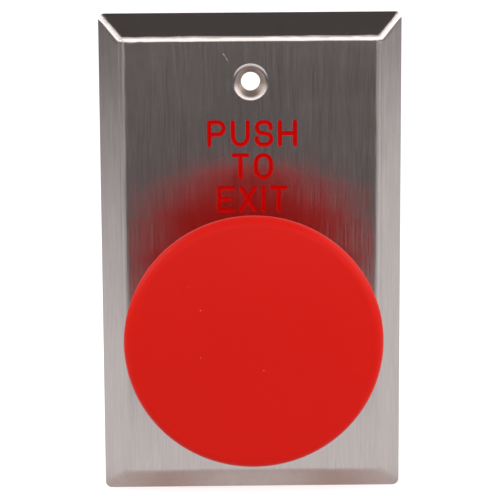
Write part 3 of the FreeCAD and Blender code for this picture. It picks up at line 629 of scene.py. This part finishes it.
LETTERS = {
    "P": (0.72, ["M0,0 L0,1", "M0,1 L0.42,1 A0.42,0.73,0.27,90,-90 L0,0.46"]),
    "U": (0.72, ["M0,1 L0,0.36 A0.36,0.36,0.36,180,360 L0.72,1"]),
    "S": (0.72, ["A0.44,0.75,0.25,-5,90 A0.27,0.75,0.25,90,235 "
                 "A0.46,0.25,0.25,55,-90 A0.26,0.25,0.25,270,170"]),
    "H": (0.72, ["M0,0 L0,1", "M0.72,0 L0.72,1", "M0,0.5 L0.72,0.5"]),
    "T": (0.66, ["M0,1 L0.66,1", "M0.33,1 L0.33,0"]),
    "O": (0.72, ["M0.72,0.64 A0.36,0.64,0.36,0,180 L0,0.36 A0.36,0.36,0.36,180,360 L0.72,0.64"]),
    "E": (0.65, ["M0,0 L0,1", "M0,1 L0.65,1", "M0,0 L0.65,0", "M0,0.52 L0.5,0.52"]),
    "X": (0.64, ["M0,0 L0.64,1", "M0,1 L0.64,0"]),
    "I": (0.0, ["M0,0 L0,1"]),
    "N": (0.72, ["M0,0 L0,1", "M0,1 L0.72,0", "M0.72,0 L0.72,1"]),
    "C": (0.72, ["M0.69,0.78 A0.36,0.64,0.36,25,180 L0,0.36 A0.36,0.36,0.36,180,335"]),
}
WORDS = ("PUSH", "TO", "EXIT")
MARKS = {"closing": "NO", "opening": "NC"}
ARC_STEPS = 9
CUTTER_SIDES, CUTTER_RINGS = 20, 12
THREAD_STEPS = 96
TURN_STEPS = 28


def stroke_points(text):
    """Points of one stroke: M and L are places, A is centre x, y, radius and two angles."""
    points = []
    for word in text.split():
        values = [float(v) for v in word[1:].split(",")]
        if word[0] in "ML":
            points.append(tuple(values))
            continue
        cx, cy, radius, start, end = values
        for step in range(ARC_STEPS + 1):
            angle = math.radians(start + (end - start) * step / ARC_STEPS)
            point = (cx + radius * math.cos(angle), cy + radius * math.sin(angle))
            if not points or math.dist(points[-1], point) > 1e-4:
                points.append(point)
    return points


def word_strokes(word, settings, size):
    """Strokes of one centred word: lists of points, at a share of the plate's letter size."""
    scale = (settings.height - settings.stroke) * size
    across = scale * settings.condense
    stroke = settings.stroke * size
    gap = settings.gap * size
    widths = [LETTERS[letter][0] * across + stroke for letter in word]
    x = -(sum(widths) + gap * (len(word) - 1)) / 2
    strokes = []
    for letter, width in zip(word, widths):
        for text in LETTERS[letter][1]:
            points = stroke_points(text)
            strokes.append([(x + stroke / 2 + px * across, (pz - 0.5) * scale) for px, pz in points])
        x += width + gap
    return strokes


def stroke_cutter(name, lines, settings, size, face_y, facing, paint):
    """Cutter for words on a face across Y; facing is -1 towards the room and 1 towards the box."""
    curve = bpy.data.curves.new(name, "CURVE")
    curve.dimensions = "3D"
    half, depth = settings.stroke * size / 2, settings.depth * size
    radius = (half**2 + depth**2) / (2 * depth)
    y = face_y + facing * (radius - depth)
    for word, centre_x, centre_z in lines:
        for points in word_strokes(word, settings, size):
            spline = curve.splines.new("POLY")
            spline.points.add(len(points) - 1)
            for place, (px, pz) in zip(spline.points, points):
                place.co = (centre_x - facing * px, y, centre_z + pz, 1.0)
    thing = bpy.data.objects.new(name, curve)
    bpy.context.scene.collection.objects.link(thing)
    return engraver(radius, paint).run(thing, {"Radius": radius, "Sides": CUTTER_SIDES})


def carve(piece, cutter):
    """Cuts a closed cutter out of a piece, whose cut faces keep the cutter's material."""
    cut = piece.modifiers.new("carve", "BOOLEAN")
    cut.operation = "DIFFERENCE"
    cut.object = cutter
    cut.solver = "EXACT"
    cut.use_self = True
    cut.material_mode = "TRANSFER"
    freeze(piece)
    bpy.data.objects.remove(cutter)


def engraver(radius, material):
    """Round-ended cutter along every stroke."""
    tree = Tree("engraver", {"Radius": radius, "Sides": CUTTER_SIDES})
    profile = tree.add(
        "GeometryNodeCurvePrimitiveCircle", None,
        {"Radius": tree.given("Radius"), "Resolution": tree.given("Sides")})
    sweep = tree.add(
        "GeometryNodeCurveToMesh", None,
        {"Curve": tree.given("Geometry"), "Profile Curve": profile.outputs["Curve"], "Fill Caps": True})
    ball = tree.add(
        "GeometryNodeMeshUVSphere", None,
        {"Radius": tree.given("Radius"), "Segments": tree.given("Sides"), "Rings": CUTTER_RINGS})
    ends = tree.add("GeometryNodeCurveEndpointSelection")
    points = tree.add(
        "GeometryNodeCurveToPoints", {"mode": "EVALUATED"}, {"Curve": tree.given("Geometry")})
    marked = tree.add(
        "GeometryNodeStoreNamedAttribute", {"data_type": "BOOLEAN", "domain": "POINT"},
        {"Geometry": tree.given("Geometry"), "Name": "stroke_end", "Value": ends.outputs[0]})
    tree.tree.links.new(marked.outputs["Geometry"], points.inputs["Curve"])
    read = tree.add("GeometryNodeInputNamedAttribute", {"data_type": "BOOLEAN"}, {"Name": "stroke_end"})
    balls = tree.add(
        "GeometryNodeInstanceOnPoints", None,
        {"Points": points.outputs["Points"], "Selection": read.outputs["Attribute"],
         "Instance": ball.outputs["Mesh"]})
    both = tree.add("GeometryNodeJoinGeometry")
    tree.tree.links.new(sweep.outputs["Mesh"], both.inputs[0])
    tree.tree.links.new(balls.outputs["Instances"], both.inputs[0])
    tree.finish(both.outputs[0], material)
    return tree


class EXITBUTTON_OT_plate(bpy.types.Operator):
    """Makes the brushed plate with its engraved and painted words"""

    bl_idname = "exitbutton.plate"
    bl_label = "Plate and lettering"

    def execute(self, context):
        finish = context.scene.exit_finish
        words = context.scene.exit_lettering
        steel = plate_steel(finish)
        paint = letter_paint(words)
        plate = welded_copy("face_plate", "plate_engraved")
        plate.data.materials.append(steel)
        lines = [
            (word, words.shift, words.first_line - row * words.pitch) for row, word in enumerate(WORDS)
        ]
        carve(plate, stroke_cutter("plate_words", lines, words, 1.0, PLATE_FRONT, -1, paint))
        smooth_faces(plate, 28.0)
        stands_for(plate, "face_plate")
        return {"FINISHED"}


class EXITBUTTON_OT_head(bpy.types.Operator):
    """Finishes the moulded head and its brass insert"""

    bl_idname = "exitbutton.head"
    bl_label = "Mushroom head"

    def execute(self, context):
        finish = context.scene.exit_finish
        dress("mushroom_head", head_plastic(finish), 38.0)
        dress("head_insert", metal("insert_turned_brass", (0.72, 0.52, 0.24), 0.3, 1400.0))
        return {"FINISHED"}


def thread_tree(material):
    """Grooves of a fine thread: rings of a four sided section along Y."""
    tree = Tree("thread_grooves", {"Radius": 11 * MM, "Depth": 0.4 * MM, "Pitch": 1 * MM, "Count": 10})
    path = tree.add(
        "GeometryNodeCurvePrimitiveCircle", None,
        {"Radius": tree.given("Radius"), "Resolution": THREAD_STEPS})
    section = tree.add(
        "GeometryNodeCurvePrimitiveCircle", None, {"Radius": tree.given("Depth"), "Resolution": 4})
    groove = tree.add(
        "GeometryNodeCurveToMesh", None,
        {"Curve": path.outputs["Curve"], "Profile Curve": section.outputs["Curve"]})
    step = tree.add("ShaderNodeCombineXYZ", None, {"Y": tree.given("Pitch")})
    places = tree.add(
        "GeometryNodeMeshLine", {"mode": "OFFSET"},
        {"Count": tree.given("Count"), "Offset": step.outputs[0]})
    turned = tree.add(
        "GeometryNodeInstanceOnPoints", None,
        {"Points": places.outputs["Mesh"], "Instance": groove.outputs["Mesh"],
         "Rotation": (math.pi / 2, 0.0, 0.0)})
    tree.finish(turned.outputs["Instances"], material)
    return tree


def threaded_tube(settings, metal_finish):
    """The operator's body with a thread cut into its tube behind the plate."""
    body = welded_copy("operator_body", "operator_body_finished")
    body.data.materials.append(metal_finish)
    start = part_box("ring_nut")[0].y + settings.pitch
    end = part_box("operator_body")[1].y
    count = int((end - start) / settings.pitch)
    seed = new_object("tube_thread", bpy.data.meshes.new("tube_thread"))
    radius = settings.tube_radius + settings.groove / 3
    cutter = thread_tree(metal_finish).run(
        seed, {"Radius": radius, "Depth": settings.groove, "Pitch": settings.pitch, "Count": count})
    cutter.data.transform(Matrix.Translation(Vector((0, start, AXIS_Z))))
    carve(body, cutter)
    smooth_faces(body, 32.0)
    stands_for(body, "operator_body")


class EXITBUTTON_OT_operator(bpy.types.Operator):
    """Finishes the bezel, stem, seals and panel fixings"""

    bl_idname = "exitbutton.operator"
    bl_label = "Operator and fixings"

    def execute(self, context):
        finish = context.scene.exit_finish
        rubber = moulding("seal_black_rubber", (0.022, 0.022, 0.024), 0.62, 1800.0, 0.03)
        zinc = metal("fixing_zinc_plate", (0.62, 0.63, 0.66), 0.34, 900.0)
        chrome = metal("bezel_satin_chrome", finish.chrome, 0.2, 1200.0, (1, 0.15, 1))
        threaded_tube(context.scene.exit_thread, chrome)
        dress("stem", metal("stem_turned_steel", (0.62, 0.62, 0.63), 0.24, 2600.0, (0.1, 1.0, 0.1)))
        dress("front_gasket", rubber)
        dress("wiper_seal", rubber)
        dress("lock_washer", zinc)
        dress("ring_nut", metal("nut_nickel_plate", (0.66, 0.63, 0.57), 0.28, 600.0))
        dress("mounting_collar", metal("collar_cast_zinc", (0.48, 0.49, 0.5), 0.42, 1500.0, depth=0.02))
        dress("set_screws", zinc)
        dress("pusher_screw", zinc)
        dress("retaining_clip", metal("clip_black_spring_steel", (0.22, 0.22, 0.24), 0.38, 800.0))
        dress("pusher_disc", moulding("pusher_black_acetal", (0.02, 0.02, 0.022), 0.4))
        return {"FINISHED"}


class EXITBUTTON_OT_blocks(bpy.types.Operator):
    """Finishes both contact blocks and what they hold"""

    bl_idname = "exitbutton.blocks"
    bl_label = "Contact blocks"

    def execute(self, context):
        grey = moulding("block_grey_nylon", (0.17, 0.178, 0.187), 0.48, 2400.0)
        cover = clear_cover()
        brass = metal("terminal_rolled_brass", (0.74, 0.56, 0.27), 0.28, 1600.0, (1.0, 0.2, 1.0))
        copper = metal("bridge_rolled_copper", (0.78, 0.45, 0.28), 0.3, 1600.0, (1.0, 1.0, 0.1))
        steel = metal("screw_zinc_plate", (0.62, 0.63, 0.66), 0.32, 1100.0)
        plungers = {
            "closing": moulding("plunger_green_acetal", (0.02, 0.26, 0.07), 0.35),
            "opening": moulding("plunger_red_acetal", (0.52, 0.02, 0.018), 0.35),
        }
        words = context.scene.exit_lettering
        white = moulding("marking_white_ink", (0.75, 0.75, 0.73), 0.5)
        for kind, plastic in plungers.items():
            body = welded_copy(kind + "_block_body", kind + "_block_body_finished")
            body.data.materials.append(grey)
            pin_low, pin_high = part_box(kind + "_plunger")
            line = (MARKS[kind], (pin_low.x + pin_high.x) / 2, (pin_low.z + pin_high.z) / 2)
            face_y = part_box(kind + "_block_body")[1].y - words.marker_recess
            carve(body, stroke_cutter(kind + "_mark", [line], words, words.mark_size, face_y, 1, white))
            smooth_faces(body, 32.0)
            stands_for(body, kind + "_block_body")
            dress(kind + "_block_cover", cover)
            dress(kind + "_plunger", plastic)
            dress(kind + "_bridge", copper)
            dress(kind + "_terminal_upper", brass)
            dress(kind + "_terminal_lower", brass)
            dress(kind + "_clamp_plates", steel)
            dress(kind + "_terminal_screws", steel)
        return {"FINISHED"}


def spring_tree(material):
    """Wound spring with closed ends along its own upright axis."""
    tree = Tree("wound_spring", {
        "Length": 10 * MM, "Radius": 2 * MM, "Wire": 0.4 * MM, "Turns": 6.0, "Sides": 10})
    spiral = tree.add(
        "GeometryNodeCurveSpiral", None,
        {"Resolution": TURN_STEPS, "Rotations": tree.given("Turns"), "Start Radius": tree.given("Radius"),
         "End Radius": tree.given("Radius"), "Height": 1.0})
    place = tree.add("GeometryNodeInputPosition").outputs[0]
    split = tree.add("ShaderNodeSeparateXYZ", None, {"Vector": place})
    share = split.outputs["Z"]
    first = tree.maths("DIVIDE", 1.0, tree.given("Turns"))
    last = tree.maths("SUBTRACT", 1.0, first)
    room = tree.maths("SUBTRACT", tree.given("Length"), tree.given("Wire"))
    open_part = tree.maths("SUBTRACT", room, tree.maths("MULTIPLY", tree.given("Wire"), 2.0))
    height = None
    for low, high, rise in ((0.0, first, tree.given("Wire")), (first, last, open_part),
                            (last, 1.0, tree.given("Wire"))):
        part = tree.add("ShaderNodeMapRange", None, {"Value": share, "From Min": low, "From Max": high})
        climb = tree.maths("MULTIPLY", part.outputs["Result"], rise)
        height = climb if height is None else tree.maths("ADD", height, climb)
    lifted = tree.maths("ADD", height, tree.maths("MULTIPLY", tree.given("Wire"), 0.5))
    moved = tree.add(
        "ShaderNodeCombineXYZ", None,
        {"X": split.outputs["X"], "Y": split.outputs["Y"], "Z": lifted})
    wound = tree.add(
        "GeometryNodeSetPosition", None,
        {"Geometry": spiral.outputs["Curve"], "Position": moved.outputs[0]})
    section = tree.add(
        "GeometryNodeCurvePrimitiveCircle", None,
        {"Radius": tree.maths("MULTIPLY", tree.given("Wire"), 0.5), "Resolution": tree.given("Sides")})
    sweep = tree.add(
        "GeometryNodeCurveToMesh", None,
        {"Curve": wound.outputs["Geometry"], "Profile Curve": section.outputs["Curve"], "Fill Caps": True})
    tree.finish(sweep.outputs["Mesh"], material)
    return tree


WIRE_SIZES = {"return_spring": 1.0 * MM, "plunger_spring": 0.45 * MM, "bridge_spring": 0.45 * MM}


class EXITBUTTON_OT_springs(bpy.types.Operator):
    """Winds every spring to the place and length that the frame gives it"""

    bl_idname = "exitbutton.springs"
    bl_label = "Springs"

    def execute(self, context):
        settings = context.scene.exit_springs
        wire_steel = metal("spring_drawn_steel", (0.56, 0.57, 0.59), 0.26, 2000.0)
        tree = spring_tree(wire_steel)
        turns = {
            "return_spring": settings.return_turns,
            "plunger_spring": settings.block_turns,
            "bridge_spring": settings.contact_turns,
        }
        for node in sorted(frame["nodes"]):
            kind = next((key for key in turns if node.endswith(key)), None)
            if kind is None:
                continue
            low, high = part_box(node)
            wire = WIRE_SIZES[kind]
            length = high.y - low.y
            seed = new_object(node + "_wound", bpy.data.meshes.new(node + "_wound"))
            spring = tree.run(seed, {
                "Length": length,
                "Radius": (high.x - low.x) / 2 - wire / 2,
                "Wire": wire,
                "Turns": turns[kind],
                "Sides": settings.sides,
            })
            centre = Vector(((low.x + high.x) / 2, low.y, (low.z + high.z) / 2))
            spring.data.transform(Matrix.Translation(centre) @ Matrix.Rotation(-math.pi / 2, 4, "X"))
            spring.data.polygons.foreach_set("use_smooth", [True] * len(spring.data.polygons))
            stands_for(spring, node)
            if kind != "bridge_spring":
                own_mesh(spring)
            elif node.startswith("closing"):
                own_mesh(spring)
        return {"FINISHED"}


def camera_matrix(stage):
    """World matrix of the camera from its azimuth, elevation, roll and distance."""
    az, el, roll = stage.azimuth, stage.elevation, stage.roll
    back = Vector((math.sin(az) * math.cos(el), -math.cos(az) * math.cos(el), math.sin(el)))
    right = Vector((0, 0, 1)).cross(back).normalized()
    up = back.cross(right)
    turned_right = right * math.cos(roll) + up * math.sin(roll)
    turned_up = up * math.cos(roll) - right * math.sin(roll)
    place = Vector(stage.target) + back * stage.distance
    columns = (turned_right, turned_up, back)
    matrix = Matrix.Identity(4)
    for index, column in enumerate(columns):
        for row in range(3):
            matrix[row][index] = column[row]
    matrix.translation = place
    return matrix


def area_lamp(name, place, target, size, power):
    """Soft white rectangular lamp that points at a target."""
    lamp = bpy.data.lights.new(name, "AREA")
    lamp.shape = "RECTANGLE"
    lamp.size, lamp.size_y = size
    lamp.energy = power
    thing = bpy.data.objects.new(name, lamp)
    bpy.context.scene.collection.objects.link(thing)
    aim = Vector(place) - Vector(target)
    turn = aim.to_track_quat("Z", "Y").to_matrix().to_4x4()
    thing.matrix_world = Matrix.Translation(Vector(place)) @ turn


def card(name, corners, material):
    """Flat card of the studio, seen only in reflections."""
    mesh = bpy.data.meshes.new(name)
    mesh.from_pydata([tuple(c) for c in corners], [], [(0, 1, 2, 3)])
    mesh.materials.append(material)
    thing = new_object(name, mesh)
    thing.visible_camera = False
    thing.visible_shadow = False
    thing.visible_diffuse = False
    thing.visible_transmission = False


def glow(name, colour):
    """Plain emitting material for a studio card."""
    s = Shader(name)
    lit = s.node("ShaderNodeEmission", None, {"Color": tuple(colour) + (1.0,), "Strength": 1.0})
    s.node("ShaderNodeOutputMaterial", None, {"Surface": lit.out("Emission")})
    return s.material


# The floor in reflections: the middle and share of its sideways reach, and its tones.
FLOOR_LIGHT_X = 0.14
FLOOR_SIDE_SHARE = 0.25
FLOOR_DARK_TONE = (0.16, 0.15, 0.15)
# Painted contact shadow under the plate's foot, seen only in reflections.
FLOOR_FOOT_PAINTED_SHADOW = (0.60, 0.42, 0.38)
FLOOR_SLANT_TONE = (0.68, 0.66, 0.66)


def mirrored_floor(s, stage):
    """Tone that the floor shows in reflections, over its own places in metres."""
    x, y, z = s.axes()
    across, ahead = x.math("ABSOLUTE"), y.math("ABSOLUTE")
    aside = (x - FLOOR_LIGHT_X) * FLOOR_SIDE_SHARE
    far = ((aside * aside + y * y) ** 0.5).step(stage.floor_white, stage.floor_dark)
    tone = s.mix(far, (1.0, 1.0, 1.0), FLOOR_DARK_TONE)
    # Painted contact shadow under the plate's foot, seen only in reflections.
    foot = y - 0.002
    painted_foot_shadow = 1 - (x * x * 0.2 + foot * foot).math("SQRT").step(0.008, 0.024)
    weight = across.step(0.004, 0.022) * 0.36 + 0.53
    tone = s.mix(painted_foot_shadow * weight, tone, FLOOR_FOOT_PAINTED_SHADOW)
    slanting = (across - ahead * 0.6).step(0.0, 0.06) * (1 - (across - ahead * 2.2).step(0.0, 0.1))
    return s.mix(slanting * far * 0.9, tone, FLOOR_SLANT_TONE)


def floor_material(stage):
    """Pale floor that keeps the object's shadow and has its own tones in reflections."""
    s = Shader("studio_floor")
    path = s.node("ShaderNodeLightPath")
    seen = path.out("Is Camera Ray").math("MAXIMUM", path.out("Is Transmission Ray"))
    matt = s.node("ShaderNodeBsdfDiffuse", None, {"Color": (0.6, 0.6, 0.6, 1.0)})
    base = s.node("ShaderNodeEmission", None, {"Color": (1.0, 1.0, 1.0, 1.0), "Strength": 0.68})
    lifted = s.node("ShaderNodeAddShader", None, {0: matt.out("BSDF"), 1: base.out("Emission")})
    plain = s.node(
        "ShaderNodeMixShader", None, {0: seen, 1: matt.out("BSDF"), 2: lifted.out("Shader")})
    mirrored = s.node(
        "ShaderNodeEmission", None, {"Color": mirrored_floor(s, stage), "Strength": 1.0})
    mixed = s.node(
        "ShaderNodeMixShader", None,
        {0: path.out("Is Glossy Ray"), 1: plain.out("Shader"), 2: mirrored.out("Emission")})
    s.node("ShaderNodeOutputMaterial", None, {"Surface": mixed.out("Shader")})
    return s.material


def set_world(stage):
    """White world to the camera and in reflections, dimmer on matt surfaces."""
    world = bpy.data.worlds.new("studio_world")
    world.use_nodes = True
    tree = world.node_tree
    tree.nodes.clear()
    path = tree.nodes.new("ShaderNodeLightPath")
    seen = path.outputs["Is Camera Ray"]
    for ray in ("Is Glossy Ray", "Is Transmission Ray"):
        either = tree.nodes.new("ShaderNodeMath")
        either.operation = "MAXIMUM"
        tree.links.new(seen, either.inputs[0])
        tree.links.new(path.outputs[ray], either.inputs[1])
        seen = either.outputs[0]
    level = tree.nodes.new("ShaderNodeMapRange")
    tree.links.new(seen, level.inputs["Value"])
    level.inputs["To Min"].default_value = stage.world
    level.inputs["To Max"].default_value = 1.0
    back = tree.nodes.new("ShaderNodeBackground")
    back.inputs["Color"].default_value = (1.0, 1.0, 1.0, 1.0)
    tree.links.new(level.outputs["Result"], back.inputs["Strength"])
    out = tree.nodes.new("ShaderNodeOutputWorld")
    tree.links.new(back.outputs["Background"], out.inputs["Surface"])
    bpy.context.scene.world = world


class EXITBUTTON_OT_stage(bpy.types.Operator):
    """Sets the camera, floor, lamps and the dark card above"""

    bl_idname = "exitbutton.stage"
    bl_label = "Studio"

    def execute(self, context):
        stage = context.scene.exit_stage
        lens = bpy.data.cameras.new("photo_camera")
        lens.lens = stage.lens
        lens.sensor_width = 36.0
        lens.clip_start = 0.01
        lens.clip_end = 20.0
        camera = bpy.data.objects.new("photo_camera", lens)
        context.scene.collection.objects.link(camera)
        camera.matrix_world = camera_matrix(stage)
        context.scene.camera = camera
        context.scene.view_settings.view_transform = "Standard"
        reach = 4.0
        floor = bpy.data.meshes.new("studio_floor")
        corners = [(-reach, -reach), (reach, -reach), (reach, reach), (-reach, reach)]
        floor.from_pydata([(x, y, FLOOR_Z) for x, y in corners], [], [(0, 1, 2, 3)])
        floor.materials.append(floor_material(stage))
        new_object("studio_floor", floor)
        plate_middle = (0, PLATE_FRONT, 0)
        behind_head = (0, (HEAD_HIGH.y + PLATE_FRONT) / 2, AXIS_Z)
        rim_height = AXIS_Z + 0.16
        lamps = (
            ("key_lamp", (-0.1, -0.85, 0.32), plate_middle, (1.2, 0.6), stage.key_power),
            ("fill_lamp", (0.6, -0.6, 0.25), plate_middle, (0.5, 0.5), stage.fill_power),
            ("rear_lamp", (0.3, 0.8, 0.5), plate_middle, (0.6, 0.6), stage.fill_power),
            ("rim_lamp_left", (-0.28, -0.01, rim_height), behind_head, (0.2, 0.2), stage.rim_power),
            ("rim_lamp_right", (0.28, -0.01, rim_height), behind_head, (0.2, 0.2), stage.rim_power),
        )
        for lamp in lamps:
            area_lamp(*lamp)
        set_world(stage)
        dark = glow("card_dark", (0.1, 0.095, 0.09))
        side, near_left, near_right, far, height = 0.6, -0.45, -0.35, 0.25, 0.62
        corners = [(-side, near_left, height), (side, near_right, height), (side, far, height),
                   (-side, far, height)]
        card("flag_above", corners, dark)
        return {"FINISHED"}


class EXITBUTTON_PT_panel(bpy.types.Panel):
    """Sidebar panel that lists the settings and steps"""

    bl_label = "Exit button"
    bl_idname = "EXITBUTTON_PT_panel"
    bl_space_type = "VIEW_3D"
    bl_region_type = "UI"
    bl_category = "Exit button"

    def draw(self, context):
        for group in SETTINGS:
            settings = getattr(context.scene, group)
            box = self.layout.box()
            for key in settings.bl_rna.properties.keys():
                if key not in ("rna_type", "name"):
                    box.prop(settings, key)
        for step in STEPS:
            self.layout.operator("exitbutton." + step)


SETTINGS = {
    "exit_lettering": LetteringSettings,
    "exit_finish": FinishSettings,
    "exit_thread": ThreadSettings,
    "exit_springs": SpringSettings,
    "exit_stage": StageSettings,
}
OPERATORS = (
    EXITBUTTON_OT_plate,
    EXITBUTTON_OT_head,
    EXITBUTTON_OT_operator,
    EXITBUTTON_OT_blocks,
    EXITBUTTON_OT_springs,
    EXITBUTTON_OT_stage,
)
STEPS = ("stage", "plate", "head", "operator", "blocks", "springs")


def register():
    """Registers the settings, the steps and the panel"""
    for group in SETTINGS.values():
        bpy.utils.register_class(group)
    for name, group in SETTINGS.items():
        setattr(bpy.types.Scene, name, PointerProperty(type=group))
    for operator in OPERATORS:
        bpy.utils.register_class(operator)
    bpy.utils.register_class(EXITBUTTON_PT_panel)


def unregister():
    """Takes the panel, the steps and the settings away again"""
    bpy.utils.unregister_class(EXITBUTTON_PT_panel)
    for operator in reversed(OPERATORS):
        bpy.utils.unregister_class(operator)
    for name, group in SETTINGS.items():
        delattr(bpy.types.Scene, name)
        bpy.utils.unregister_class(group)


def main():
    """Runs every step."""
    register()
    for step in STEPS:
        getattr(bpy.ops.exitbutton, step)()


if __name__ == "__main__":
    main()
